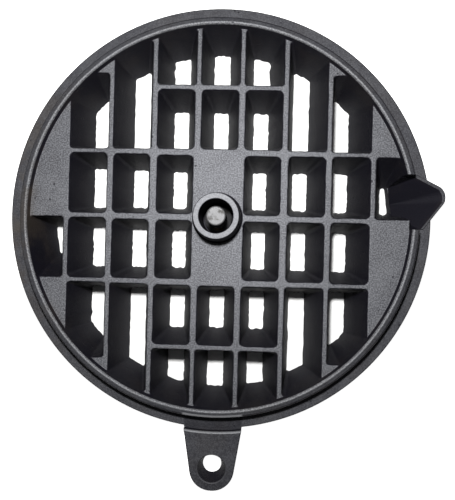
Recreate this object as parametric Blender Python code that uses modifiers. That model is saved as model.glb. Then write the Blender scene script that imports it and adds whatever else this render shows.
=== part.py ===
"""Round ventilated manhole cover: one grey-iron grating casting with a captive centre lock bolt.

The cover lies on its walking face with its underside up, as it is stacked for handling.
Frame: metres, +Z up, origin at the centre of the walking face (the outer face of the bolt's head).
+Z points to the underside, the hinge ear points to -Y and the hollow locating nose to +X.
"""
from math import atan2, cos, hypot, pi, radians, sin, tan

import bmesh
import bpy
from mathutils import Vector

# ---- driving dimensions (metres) -------------------------------------------------------------
COVER_R = 0.300             # outside radius of the seating flange
RIM_IN_R = 0.2667           # inside radius of the rim that stands round the grid
RIM_WALL = 0.0105           # thickness of the rim at its top
RIB_TOP_Z = 0.075           # height of the ribs above the walking face
SEAT_Z = 0.060              # height of the seating face above the walking face
RIM_TOP_Z = 0.085           # height of the rim above the walking face
RIM_DRAFT = 0.003           # how far the rim's outside leans out from its top to the seat
EDGE_DRAFT = 0.003          # how far the cover's edge leans in from the seat to the walking face
RIM_ROUND = 0.0025          # rounding of the rim's and the flange's edges
TURN_STEPS = 96             # flats round the turned surfaces

# the grid of ribs
PITCH_X = 0.0612            # spacing of the ribs that run along Y
PITCH_Y = 0.0910            # spacing of the ribs that run along X
RIB_X = 0.0112              # width of a rib that runs along Y, at its top, near the centre
RIB_Y = 0.0100              # width of a rib that runs along X, at its top, near the centre
RIB_THINNING = 0.0040       # how much thinner a rib's top is where it is far from the centre
THIN_FROM_R = 0.095         # distance from the axis where the ribs begin to get thinner
THIN_TO_R = 0.225           # distance from the axis where they are thinnest
SLOPE_LOW_X = 0.0131        # how far a cell's -X side leans in from rib top to walking face
SLOPE_HIGH_X = 0.0168       # the same for its +X side
SLOPE_LOW_Y = 0.0130        # the same for its -Y side
SLOPE_HIGH_Y = 0.0117       # the same for its +Y side
SLOPE_RING = 0.0095         # the same for the round wall
SLOPE_END = 0.0265          # the same for the rib side of the two end cells
WALL_LEDGE = 0.0014         # width of the ledge between the rim and the cells' round wall
CELL_ROUND = 0.0070         # corner radius of a cell
CELL_END_Y = 0.200          # where the long cells next to the ends stop, short of the round wall
COLUMNS = 9                 # cells across, counted from -X, the two end cells included
ROWS = 6                    # cells down, counted from +Y

# the hinge ear
EAR_HOLE_Y = -(COVER_R + 0.0535)    # centre of the eye
EAR_END_R = 0.0315          # how far the ear runs past the centre of its eye
EAR_END_HALF = 0.0272       # half width of the ear at its end, before its corners are rounded
EAR_ROOT_HALF = 0.0440      # half width of the ear where it leaves the rim
EAR_TOP_Z = 0.070           # height of the ear's face
EAR_THICK = 0.022           # thickness of the ear
EAR_GAP_R = COVER_R + 0.002 # radius where the raised part of the ear begins
EYE_TOP_R = 0.0193          # radius of the eye at the ear's face
EYE_BOTTOM_R = 0.0132       # radius of the eye at its narrow end

# the hollow nose
NOSE_TOP_Z = 0.062          # height of the nose's walls
NOSE_BOTTOM_Z = 0.012       # underside of the nose
NOSE_FLOOR = 0.008          # thickness of the nose's floor
NOSE_WALL = 0.0045          # thickness of the nose's side walls
NOSE_TIP = (COVER_R + 0.0282, 0.0431)   # where the nose's two sides would meet
NOSE_TIP_R = 0.0177         # rounding of the nose's tip
NOSE_ROOT_HIGH = (COVER_R - 0.0200, 0.0672)   # where the nose's +Y side leaves the flange
NOSE_ROOT_LOW = (COVER_R - 0.0111, -0.0090)   # where the nose's -Y side leaves the flange

# the centre boss and the bolt
BOSS_BASE_R = 0.0343        # radius of the boss where it leaves the centre plate
BOSS_TOP_R = 0.0308         # radius of the boss at its top
BOSS_TOP_Z = 0.115          # height of the boss
BOSS_BORE_R = 0.0226        # radius of the boss's wide bore
BORE_MOUTH = 0.0015         # chamfer at the mouth of the wide bore
BORE_FLOOR_Z = 0.040        # height of the floor of the wide bore
RECESS_R = 0.0320           # radius of the recess for the bolt's head
HEAD_ACROSS = 0.0410        # width of the bolt's head across its flats
HEAD_H = 0.0150             # height of the bolt's head
WASHER_R = 0.0250           # outside radius of the washer
WASHER_T = 0.0030           # thickness of the washer
SEAL_R = 0.0275             # outside radius of the rubber seal
SEAL_T = 0.0032             # thickness of the rubber seal
BOLT_R = 0.0130             # radius of the bolt's shank
BOLT_END_Z = 0.1155         # height of the bolt's end
BOLT_CHAMFER = 0.0015       # chamfer on the bolt's end
BUSH_WALL = 0.0034          # wall of the guide bush
CLIP_GROOVE = 0.0015        # depth of the clip's groove in the shank
CLIP_T = 0.0025             # thickness of the retaining clip
CLIP_R = 0.0195             # outside radius of the retaining clip
CLIP_GAP_HALF = 25.0        # half of the clip's open angle, in degrees
TRAVEL = 0.0120             # how far the bolt lifts before its clip stops it

CLEAR = 0.0003              # gap between pieces that touch
BOLT_CLEAR = 0.0004         # radial gap between the shank and what it passes through
OVERCUT = 0.004             # how far a cutter runs past the face that it cuts
MERGE = 0.00005             # merge distance for turned surfaces
FLAT_ANGLE = 0.1            # faces closer to one plane than this become one, in degrees

# ---- materials: colour, roughness, metallic --------------------------------------------------
CAST_IRON = ("cast_iron", (0.150, 0.150, 0.156, 1.0), 0.62, 0.55)
BOLT_STEEL = ("bolt_steel", (0.480, 0.480, 0.490, 1.0), 0.38, 1.0)
WASHER_STEEL = ("washer_steel", (0.420, 0.420, 0.430, 1.0), 0.50, 1.0)
BRONZE = ("bush_bronze", (0.360, 0.220, 0.090, 1.0), 0.42, 1.0)
SPRING_STEEL = ("clip_steel", (0.090, 0.090, 0.095, 1.0), 0.40, 1.0)
RUBBER = ("seal_rubber", (0.020, 0.020, 0.022, 1.0), 0.80, 0.0)


# ---- scene helpers ---------------------------------------------------------------------------
def clear_scene():
    """Remove every object that the file opened with."""
    for old in list(bpy.data.objects):
        bpy.data.objects.remove(old, do_unlink=True)


def make_collection(name):
    """Add a collection to the scene."""
    group = bpy.data.collections.new(name)
    bpy.context.scene.collection.children.link(group)
    return group


def add_object(name, mesh, group):
    """Put a mesh in the scene as a named object."""
    made = bpy.data.objects.new(name, mesh)
    group.objects.link(made)
    return made


def mesh_from(work, name):
    """Turn a bmesh into a mesh with its faces pointing out."""
    bmesh.ops.recalc_face_normals(work, faces=work.faces)
    mesh = bpy.data.meshes.new(name)
    work.to_mesh(mesh)
    work.free()
    return mesh


def as_cutter(tool):
    """Mark an object as a construction tool that isn't part of the cover."""
    tool.hide_render = True
    tool.display_type = "WIRE"
    return tool


def boolean(body, tool, operation):
    """Add an exact Boolean modifier to a body."""
    step = body.modifiers.new(f"{operation.lower()}_{tool.name}", "BOOLEAN")
    step.object = tool
    step.operation = operation
    step.solver = "EXACT"


def finish(piece, finish_values):
    """Give a piece its material and smooth shading with sharp edges."""
    name, colour, roughness, metallic = finish_values
    material = bpy.data.materials.get(name) or bpy.data.materials.new(name)
    material.use_nodes = True
    shader = material.node_tree.nodes["Principled BSDF"]
    shader.inputs["Base Color"].default_value = colour
    shader.inputs["Roughness"].default_value = roughness
    shader.inputs["Metallic"].default_value = metallic
    piece.data.materials.append(material)
    piece.data.shade_smooth()
    piece.data.set_sharp_from_angle(angle=radians(30.0))


# ---- shape helpers ---------------------------------------------------------------------------
def turned(name, profile, group, steps=TURN_STEPS):
    """Turn a profile of (radius, height) points, listed from the top down its outer side."""
    mesh = bpy.data.meshes.new(name)
    points = [(radius, 0.0, height) for radius, height in profile]
    closed = profile[0][0] > 0.0
    count = len(points)
    edges = [(index, (index + 1) % count) for index in range(count if closed else count - 1)]
    mesh.from_pydata(points, edges, [])
    made = add_object(name, mesh, group)
    screw = made.modifiers.new("turn", "SCREW")
    screw.axis = "Z"
    screw.angle = 2.0 * pi
    screw.steps = steps
    screw.render_steps = steps
    screw.use_merge_vertices = True
    screw.merge_threshold = MERGE
    screw.use_normal_calculate = False
    if not closed:
        flat = made.modifiers.new("flat_ends", "DECIMATE")
        flat.decimate_type = "DISSOLVE"
        flat.angle_limit = radians(FLAT_ANGLE)
    return made


def quarter(centre, radius, start, end, steps=3):
    """Points on an arc in the profile plane, from one angle to another in degrees."""
    angles = [radians(start + (end - start) * index / steps) for index in range(steps + 1)]
    return [(centre[0] + radius * cos(a), centre[1] + radius * sin(a)) for a in angles]


def rounded(corners, radii, steps=5):
    """Points of an outline whose corners are replaced by arcs of the radii given."""
    outline = []
    count = len(corners)
    for index, radius in enumerate(radii):
        here = Vector(corners[index])
        back = (Vector(corners[index - 1]) - here).normalized()
        ahead = (Vector(corners[(index + 1) % count]) - here).normalized()
        if radius <= 0.0:
            outline.append(tuple(here))
            continue
        half = back.angle(ahead) / 2.0
        centre = here + (back + ahead).normalized() * (radius / sin(half))
        first = here + back * (radius / tan(half)) - centre
        last = here + ahead * (radius / tan(half)) - centre
        sweep = first.angle_signed(last)
        for step in range(steps + 1):
            turn = -sweep * step / steps
            outline.append(tuple(centre + Vector((first.x * cos(turn) - first.y * sin(turn),
                                                  first.x * sin(turn) + first.y * cos(turn)))))
    return outline


def offset_edge(first, last, distance):
    """Move an edge to its left by a distance."""
    run = Vector(last) - Vector(first)
    side = Vector((-run.y, run.x)).normalized() * distance
    return Vector(first) + side, Vector(last) + side


def crossing(first_edge, second_edge):
    """Where two edges would meet if they were long enough."""
    (a, b), (c, d) = first_edge, second_edge
    run, other = b - a, d - c
    along = (c - a).cross(other) / run.cross(other)
    return tuple(a + run * along)


def prism(name, outline, low, high, group):
    """Extrude a flat outline between two heights."""
    work = bmesh.new()
    base = [work.verts.new((x, y, low)) for x, y in outline]
    floor = work.faces.new(base)
    grown = bmesh.ops.extrude_face_region(work, geom=[floor])
    lifted = [part for part in grown["geom"] if isinstance(part, bmesh.types.BMVert)]
    bmesh.ops.translate(work, verts=lifted, vec=(0.0, 0.0, high - low))
    return add_object(name, mesh_from(work, name), group)


# ---- the casting -----------------------------------------------------------------------------
def rib_x(index):
    """X of the centre line of a rib between column index - 1 and column index."""
    return (index - COLUMNS / 2.0) * PITCH_X


def rib_y(index):
    """Y of the centre line of a rib between row index and row index + 1."""
    return (ROWS / 2.0 - index) * PITCH_Y


def cell_plan():
    """List the cells as (column, first row, last row)."""
    plan = [(column, row, row) for column in (3, 5) for row in range(1, 7)]
    plan += [(4, row, row) for row in (1, 2, 5, 6)]
    for column in (1, 2, 6, 7):
        plan += [(column, 1, 2), (column, 3, 3), (column, 4, 4), (column, 5, 6)]
    plan += [(0, 4, 4), (8, 3, 3)]
    return plan


def half_rib(width, x, y):
    """Half the width of a rib's top beside a cell, which falls with the distance from the axis."""
    share = (hypot(x, y) - THIN_FROM_R) / (THIN_TO_R - THIN_FROM_R)
    return (width - RIB_THINNING * min(max(share, 0.0), 1.0)) / 2.0


def cell_limits(column, first_row, last_row):
    """Sides of a cell at the rib tops, as (low x, high x, low y, high y)."""
    beyond = COVER_R
    left, right = rib_x(column), rib_x(column + 1)
    upper, lower = rib_y(first_row - 1), rib_y(last_row)
    middle_x, middle_y = (left + right) / 2.0, (upper + lower) / 2.0
    low_x = left + half_rib(RIB_X, left, middle_y) if column > 0 else -beyond
    high_x = right - half_rib(RIB_X, right, middle_y) if column < COLUMNS - 1 else beyond
    high_y = upper - half_rib(RIB_Y, middle_x, upper) if first_row > 1 else beyond
    low_y = lower + half_rib(RIB_Y, middle_x, lower) if last_row < ROWS else -beyond
    if column in (1, COLUMNS - 2):
        high_y = min(high_y, CELL_END_Y)
        low_y = max(low_y, -CELL_END_Y)
    return low_x, high_x, low_y, high_y


def add_cell(work, column, first_row, last_row):
    """Add one cell's tapered, round-cornered cutter to a bmesh."""
    low_x, high_x, low_y, high_y = cell_limits(column, first_row, last_row)
    low_slope = SLOPE_END if column == COLUMNS - 1 else SLOPE_LOW_X
    high_slope = SLOPE_END if column == 0 else SLOPE_HIGH_X
    past = OVERCUT / RIB_TOP_Z
    made = bmesh.ops.create_cube(work, size=2.0)["verts"]
    for vert in made:
        lean = -past if vert.co.z > 0.0 else 1.0 + past
        height = RIB_TOP_Z + OVERCUT if vert.co.z > 0.0 else -OVERCUT
        x = low_x + low_slope * lean if vert.co.x < 0.0 else high_x - high_slope * lean
        y = low_y + SLOPE_LOW_Y * lean if vert.co.y < 0.0 else high_y - SLOPE_HIGH_Y * lean
        vert.co = (x, y, height)
    uprights = {edge for vert in made for edge in vert.link_edges
                if abs(edge.verts[0].co.z - edge.verts[1].co.z) > OVERCUT}
    bmesh.ops.bevel(work, geom=list(uprights), offset=CELL_ROUND, offset_type="OFFSET",
                    segments=4, profile=0.5, affect="EDGES")


def grid_cutter(tools):
    """All the cells as one tool, cut off at the sloping round wall."""
    work = bmesh.new()
    for cell in cell_plan():
        add_cell(work, *cell)
    cells = as_cutter(add_object("cut_cells", mesh_from(work, "cut_cells"), tools))
    wall_r = RIM_IN_R - WALL_LEDGE
    over = 2.0 * OVERCUT
    past = SLOPE_RING * over / RIB_TOP_Z
    wall = turned("cut_round_wall", [
        (0.0, RIB_TOP_Z + over), (wall_r + past, RIB_TOP_Z + over),
        (wall_r - SLOPE_RING - past, -over), (0.0, -over)], tools)
    wall.rotation_euler.z = pi / TURN_STEPS
    boolean(cells, as_cutter(wall), "INTERSECT")
    return cells


def cover_blank(parts):
    """The turned body: flange, rim and a solid centre."""
    rim_out = RIM_IN_R + RIM_WALL
    profile = [(0.0, RIB_TOP_Z), (RIM_IN_R, RIB_TOP_Z)]
    profile += quarter((RIM_IN_R + RIM_ROUND, RIM_TOP_Z - RIM_ROUND), RIM_ROUND, 180.0, 90.0)
    profile += quarter((rim_out - RIM_ROUND, RIM_TOP_Z - RIM_ROUND), RIM_ROUND, 90.0, 0.0)
    profile += quarter((rim_out + RIM_DRAFT + RIM_ROUND, SEAT_Z + RIM_ROUND), RIM_ROUND,
                       180.0, 270.0)
    profile += quarter((COVER_R - RIM_ROUND, SEAT_Z - RIM_ROUND), RIM_ROUND, 90.0, 0.0)
    profile += [(COVER_R - EDGE_DRAFT, 0.0), (0.0, 0.0)]
    return turned("cover_casting", profile, parts)


def ear_body(tools):
    """The hinge ear, without the gap between its raised part and the rim."""
    root_y = -(RIM_IN_R + RIM_WALL + RIM_DRAFT)
    end_y = EAR_HOLE_Y - EAR_END_R
    corners = [(-EAR_ROOT_HALF, root_y), (-EAR_END_HALF, end_y),
               (EAR_END_HALF, end_y), (EAR_ROOT_HALF, root_y)]
    lean = atan2(EAR_ROOT_HALF - EAR_END_HALF, root_y - end_y)
    end = EAR_END_HALF * tan(pi / 4.0 + lean / 2.0) * 0.97
    outline = rounded(corners, [0.0, end, end, 0.0], steps=12)
    ear = prism("add_ear", outline, EAR_TOP_Z - EAR_THICK, EAR_TOP_Z, tools)
    gap = turned("cut_ear_gap", [(0.0, EAR_TOP_Z + OVERCUT), (EAR_GAP_R, EAR_TOP_Z + OVERCUT),
                                 (EAR_GAP_R, SEAT_Z - CLEAR), (0.0, SEAT_Z - CLEAR)], tools)
    boolean(ear, as_cutter(gap), "DIFFERENCE")
    return as_cutter(ear)


def eye_cutter(tools):
    """The ear's tapered eye."""
    slope = (EYE_TOP_R - EYE_BOTTOM_R) / EAR_THICK
    low = EAR_TOP_Z - EAR_THICK - OVERCUT
    high = EAR_TOP_Z + OVERCUT
    bpy.ops.mesh.primitive_cone_add(vertices=40, radius1=EYE_BOTTOM_R - slope * OVERCUT,
                                    radius2=EYE_TOP_R + slope * OVERCUT, depth=high - low,
                                    location=(0.0, EAR_HOLE_Y, (high + low) / 2.0))
    eye = bpy.context.active_object
    eye.name = "cut_eye"
    for group in list(eye.users_collection):
        group.objects.unlink(eye)
    tools.objects.link(eye)
    return as_cutter(eye)


def nose_body(tools):
    """The solid outside of the nose."""
    inner_x = RIM_IN_R + RIM_WALL
    corners = [(inner_x, NOSE_ROOT_LOW[1]), NOSE_ROOT_LOW, NOSE_TIP, NOSE_ROOT_HIGH,
               (inner_x, NOSE_ROOT_HIGH[1])]
    outline = rounded(corners, [0.0, 0.0, NOSE_TIP_R, 0.0, 0.0], steps=7)
    return as_cutter(prism("add_nose", outline, NOSE_BOTTOM_Z, NOSE_TOP_Z, tools))


def nose_cutter(tools):
    """The nose's hollow, which opens into the end cell and interrupts the rim."""
    low_side = offset_edge(NOSE_ROOT_LOW, NOSE_TIP, NOSE_WALL)
    high_side = offset_edge(NOSE_TIP, NOSE_ROOT_HIGH, NOSE_WALL)
    inner_x = RIM_IN_R - SLOPE_RING
    low_y = NOSE_ROOT_LOW[1] + CLEAR
    high_y = NOSE_ROOT_HIGH[1] - NOSE_WALL / 2.0
    low_line = (Vector((0.0, low_y)), Vector((1.0, low_y)))
    high_line = (Vector((0.0, high_y)), Vector((1.0, high_y)))
    corners = [(inner_x, low_y), crossing(low_side, low_line), crossing(low_side, high_side),
               crossing(high_side, high_line), (inner_x, high_y)]
    inner_r = NOSE_TIP_R - NOSE_WALL
    outline = rounded(corners, [0.0, 0.0, inner_r, 0.0, 0.0], steps=7)
    floor = NOSE_BOTTOM_Z + NOSE_FLOOR
    return as_cutter(prism("cut_nose", outline, floor, RIM_TOP_Z + OVERCUT, tools))


def boss_body(tools):
    """The round boss on the centre plate."""
    lip = BORE_MOUTH
    return as_cutter(turned("add_boss", [
        (0.0, BOSS_TOP_Z), (BOSS_TOP_R - lip, BOSS_TOP_Z), (BOSS_TOP_R, BOSS_TOP_Z - lip),
        (BOSS_BASE_R, RIB_TOP_Z), (BOSS_BASE_R, RIB_TOP_Z - OVERCUT),
        (0.0, RIB_TOP_Z - OVERCUT)], tools, steps=48))


def recess_top():
    """Height of the floor of the head's recess, above the head, the washer and the seal."""
    return HEAD_H + WASHER_T + SEAL_T + 3.0 * CLEAR


def bush_hole_r():
    """Radius of the hole that holds the bush."""
    return BOLT_R + BOLT_CLEAR + BUSH_WALL + CLEAR


def bolt_hole_cutter(tools):
    """The stepped hole through the boss: wide bore, bush seat and head recess."""
    return as_cutter(turned("cut_bolt_hole", [
        (0.0, BOSS_TOP_Z + OVERCUT),
        (BOSS_BORE_R + BORE_MOUTH + OVERCUT, BOSS_TOP_Z + OVERCUT),
        (BOSS_BORE_R, BOSS_TOP_Z - BORE_MOUTH),
        (BOSS_BORE_R, BORE_FLOOR_Z), (bush_hole_r(), BORE_FLOOR_Z),
        (bush_hole_r(), recess_top()), (RECESS_R, recess_top()),
        (RECESS_R, -OVERCUT), (0.0, -OVERCUT)], tools, steps=48))


def make_casting(parts, tools):
    """The whole iron casting."""
    casting = cover_blank(parts)
    for body in (ear_body(tools), nose_body(tools), boss_body(tools)):
        boolean(casting, body, "UNION")
    for cutter in (grid_cutter(tools), nose_cutter(tools), eye_cutter(tools),
                   bolt_hole_cutter(tools)):
        boolean(casting, cutter, "DIFFERENCE")
    finish(casting, CAST_IRON)
    return casting


# ---- the bolt set ----------------------------------------------------------------------------
def clip_z():
    """Height of the underside of the clip: the bolt's travel above the bush's seat."""
    return BORE_FLOOR_Z + TRAVEL + CLEAR * 3.0


def make_bolt(parts, tools):
    """The lock bolt: hexagon head, shank, clip groove and chamfered end."""
    groove_r = BOLT_R - CLIP_GROOVE
    shank = turned("lock_bolt", [
        (0.0, BOLT_END_Z), (BOLT_R - BOLT_CHAMFER, BOLT_END_Z),
        (BOLT_R, BOLT_END_Z - BOLT_CHAMFER),
        (BOLT_R, clip_z() + CLIP_T + CLEAR), (groove_r, clip_z() + CLIP_T + CLEAR),
        (groove_r, clip_z() - CLEAR), (BOLT_R, clip_z() - CLEAR),
        (BOLT_R, HEAD_H / 2.0), (0.0, HEAD_H / 2.0)], parts, steps=48)
    bpy.ops.mesh.primitive_cylinder_add(vertices=6, radius=HEAD_ACROSS / 2.0 / cos(pi / 6.0),
                                        depth=HEAD_H, location=(0.0, 0.0, HEAD_H / 2.0))
    head = bpy.context.active_object
    head.name = "add_bolt_head"
    for group in list(head.users_collection):
        group.objects.unlink(head)
    tools.objects.link(head)
    boolean(shank, as_cutter(head), "UNION")
    finish(shank, BOLT_STEEL)
    return shank


def ring(name, inner, outer, low, high, group, finish_values):
    """A flat ring, such as a washer."""
    made = turned(name, [(outer, high), (outer, low), (inner, low), (inner, high)], group,
                  steps=48)
    finish(made, finish_values)
    return made


def make_clip(parts, tools):
    """The open retaining clip in the bolt's groove."""
    inner = BOLT_R - CLIP_GROOVE + CLEAR
    clip = ring("bolt_clip", inner, CLIP_R, clip_z(), clip_z() + CLIP_T, parts, SPRING_STEEL)
    reach = CLIP_R * 1.5
    half = reach * tan(radians(CLIP_GAP_HALF))
    mouth = prism("cut_clip_gap", [(0.0, 0.0), (half, -reach), (-half, -reach)],
                  clip_z() - OVERCUT, clip_z() + CLIP_T + OVERCUT, tools)
    boolean(clip, as_cutter(mouth), "DIFFERENCE")
    return clip


def make_bolt_set(parts, tools):
    """The bolt with the pieces that seal, guide and keep it."""
    make_bolt(parts, tools)
    through = BOLT_R + BOLT_CLEAR
    washer_z = HEAD_H + CLEAR
    seal_z = washer_z + WASHER_T + CLEAR
    ring("bolt_washer", through, WASHER_R, washer_z, washer_z + WASHER_T, parts,
         WASHER_STEEL)
    ring("bolt_seal", through, SEAL_R, seal_z, seal_z + SEAL_T, parts, RUBBER)
    ring("bolt_bush", through, through + BUSH_WALL, recess_top() + CLEAR, BORE_FLOOR_Z, parts,
         BRONZE)
    make_clip(parts, tools)


def main():
    """Build the cover."""
    clear_scene()
    parts = make_collection("manhole_cover")
    tools = make_collection("construction")
    make_casting(parts, tools)
    make_bolt_set(parts, tools)


main()
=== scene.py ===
"""Looks for a round ventilated manhole cover: the iron casting, its lock bolt, finishes and studio.

The cover lies on its walking face with its underside up. Every size is in metres, in the frame of
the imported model: +Z is the cover's axis, the locating nose points to +X and the hinge ear to -Y.
"""
import logging
from dataclasses import dataclass, field
from enum import Enum
from math import atan2, cos, degrees, hypot, pi, radians, sin, sqrt, tan
from typing import Any, Callable, Iterable, Sequence

import bmesh
import bpy
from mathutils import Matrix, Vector, noise


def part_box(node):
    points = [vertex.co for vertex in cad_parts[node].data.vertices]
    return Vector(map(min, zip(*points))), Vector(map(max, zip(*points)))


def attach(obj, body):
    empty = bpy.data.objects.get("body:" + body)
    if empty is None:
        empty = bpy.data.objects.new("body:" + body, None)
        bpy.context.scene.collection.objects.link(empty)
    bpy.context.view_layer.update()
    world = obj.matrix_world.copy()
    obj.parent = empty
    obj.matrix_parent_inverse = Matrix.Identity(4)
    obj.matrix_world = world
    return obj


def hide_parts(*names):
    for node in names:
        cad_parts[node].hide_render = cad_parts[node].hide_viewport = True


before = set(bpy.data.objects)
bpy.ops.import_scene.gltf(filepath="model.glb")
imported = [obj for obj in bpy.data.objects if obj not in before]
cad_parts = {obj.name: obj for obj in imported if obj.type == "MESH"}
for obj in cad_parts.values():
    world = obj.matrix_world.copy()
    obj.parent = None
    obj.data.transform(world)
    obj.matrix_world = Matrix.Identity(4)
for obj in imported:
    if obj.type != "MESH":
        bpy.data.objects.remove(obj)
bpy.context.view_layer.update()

log = logging.getLogger("manhole_cover")
Point = tuple[float, float]
Colour = tuple[float, float, float]


class Body(Enum):
    """The bodies that the new pieces ride on."""

    COVER = "cover"
    BOLT = "bolt"


class Slot(Enum):
    """The material slots that the new pieces fill."""

    IRON = "cast_iron"
    BOLT = "bolt_steel"


# ---- shader maths ----------------------------------------------------------------------------
class Term:
    """A value in a node tree that Python's operators can work on."""

    def __init__(self, tree: "Tree", socket: Any) -> None:
        """Wrap a socket, or a plain number, of a tree."""
        self.tree = tree
        self.socket = socket

    def _maths(self, operation: str, *values: Any) -> "Term":
        """Add a Math node that takes these values."""
        return self.tree.add("ShaderNodeMath", {"operation": operation}, dict(enumerate(values)))

    def __add__(self, other: Any) -> "Term":
        """Sum."""
        return self._maths("ADD", self, other)

    def __radd__(self, other: Any) -> "Term":
        """Sum, from the right."""
        return self._maths("ADD", other, self)

    def __sub__(self, other: Any) -> "Term":
        """Difference."""
        return self._maths("SUBTRACT", self, other)

    def __rsub__(self, other: Any) -> "Term":
        """Difference, from the right."""
        return self._maths("SUBTRACT", other, self)

    def __mul__(self, other: Any) -> "Term":
        """Product."""
        return self._maths("MULTIPLY", self, other)

    def __rmul__(self, other: Any) -> "Term":
        """Product, from the right."""
        return self._maths("MULTIPLY", other, self)

    def __truediv__(self, other: Any) -> "Term":
        """Quotient."""
        return self._maths("DIVIDE", self, other)

    def __pow__(self, other: Any) -> "Term":
        """Power."""
        return self._maths("POWER", self, other)

    def ramp(self, low: float, high: float, to_low: float = 0.0, to_high: float = 1.0) -> "Term":
        """Map a range smoothly onto another.

        Args:
            low: value that gives to_low.
            high: value that gives to_high.
            to_low: result at and before low.
            to_high: result at and past high.

        Returns:
            The mapped value.
        """
        settings = {"interpolation_type": "SMOOTHSTEP"}
        values = {"Value": self, "From Min": low, "From Max": high, "To Min": to_low,
                  "To Max": to_high}
        return self.tree.add("ShaderNodeMapRange", settings, values)

    def band(self, start: float, full: float, fading: float, end: float) -> "Term":
        """Give 1 between full and fading, and 0 before start and after end."""
        return self.ramp(start, full) * self.ramp(fading, end, 1.0, 0.0)

    def mix(self, low: Any, high: Any) -> "Term":
        """Mix two colours by this value.

        Args:
            low: colour or Term where this value is 0.
            high: colour or Term where it is 1.

        Returns:
            The mixed colour.
        """
        values = {"Factor": self, "A": low, "B": high}
        return self.tree.add("ShaderNodeMix", {"data_type": "RGBA"}, values, "Result")


class Tree:
    """A material's node tree, with one method that adds any node."""

    def __init__(self, name: str) -> None:
        """Make a material that holds only a Principled shader and its output."""
        self.material = bpy.data.materials.new(name)
        self.material.use_nodes = True
        self.nodes = self.material.node_tree.nodes
        self.links = self.material.node_tree.links
        self.shader = self.nodes["Principled BSDF"]

    def add(self, kind: str, settings: dict[str, Any] | None = None,
            values: dict[Any, Any] | None = None, output: Any = 0) -> Term:
        """Add a node.

        Args:
            kind: the node's type.
            settings: its properties, which are set first.
            values: its sockets, by name or number, with a number, a colour or a Term.
            output: name or number of the output that is wanted.

        Returns:
            The wanted output.
        """
        node = self.nodes.new(kind)
        for key, value in (settings or {}).items():
            setattr(node, key, value)
        for key, value in (values or {}).items():
            self.feed(self._socket(node.inputs, key), value)
        return Term(self, self._socket(node.outputs, output))

    @staticmethod
    def _socket(sockets: Any, key: Any) -> Any:
        """Find an enabled socket by its name, or any socket by its number."""
        if isinstance(key, int):
            return sockets[key]
        return next(one for one in sockets if one.name == key and one.enabled)

    def feed(self, socket: Any, value: Any) -> None:
        """Link a Term to a socket, or set the socket to a number or a colour."""
        if isinstance(value, Term):
            self.links.new(value.socket, socket)
        elif isinstance(value, tuple) and socket.type == "RGBA":
            socket.default_value = (*value, 1.0)
        else:
            socket.default_value = value

    def place(self) -> Term:
        """Give the object coordinates."""
        return self.add("ShaderNodeTexCoord", output="Object")

    def parts(self, vector: Term) -> tuple[Term, Term, Term]:
        """Give the X, Y and Z of a vector."""
        out = self.add("ShaderNodeSeparateXYZ", {}, {"Vector": vector}, "X").socket.node.outputs
        return Term(self, out["X"]), Term(self, out["Y"]), Term(self, out["Z"])

    def noise(self, at: Term, scale: float, detail: float = 3.0, rough: float = 0.55) -> Term:
        """Add fractal noise.

        Args:
            at: where it is read.
            scale: cells per metre.
            detail: number of octaves.
            rough: strength of the finer octaves.

        Returns:
            A value about 0.5.
        """
        values = {"Vector": at, "Scale": scale, "Detail": detail, "Roughness": rough}
        return self.add("ShaderNodeTexNoise", {}, values, "Fac")

    def cells(self, at: Term, scale: float, randomness: float = 1.0) -> Term:
        """Give the distance to the nearest of scattered points, in cells of 1 / scale metres."""
        values = {"Vector": at, "Scale": scale, "Randomness": randomness}
        return self.add("ShaderNodeTexVoronoi", {}, values, "Distance")

    def bump(self, height: Term, distance: float, strength: float = 1.0) -> Term:
        """Turn a height in 0 to 1 into a normal, with the full height given in metres."""
        values = {"Height": height, "Distance": distance, "Strength": strength}
        return self.add("ShaderNodeBump", {}, values, "Normal")

    def finish(self, **values: Any) -> bpy.types.Material:
        """Set the shader's sockets and give the material.

        Args:
            values: sockets by name, with underscores for spaces.

        Returns:
            The finished material.
        """
        for key, value in values.items():
            self.feed(self.shader.inputs[key.replace("_", " ")], value)
        return self.material


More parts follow.
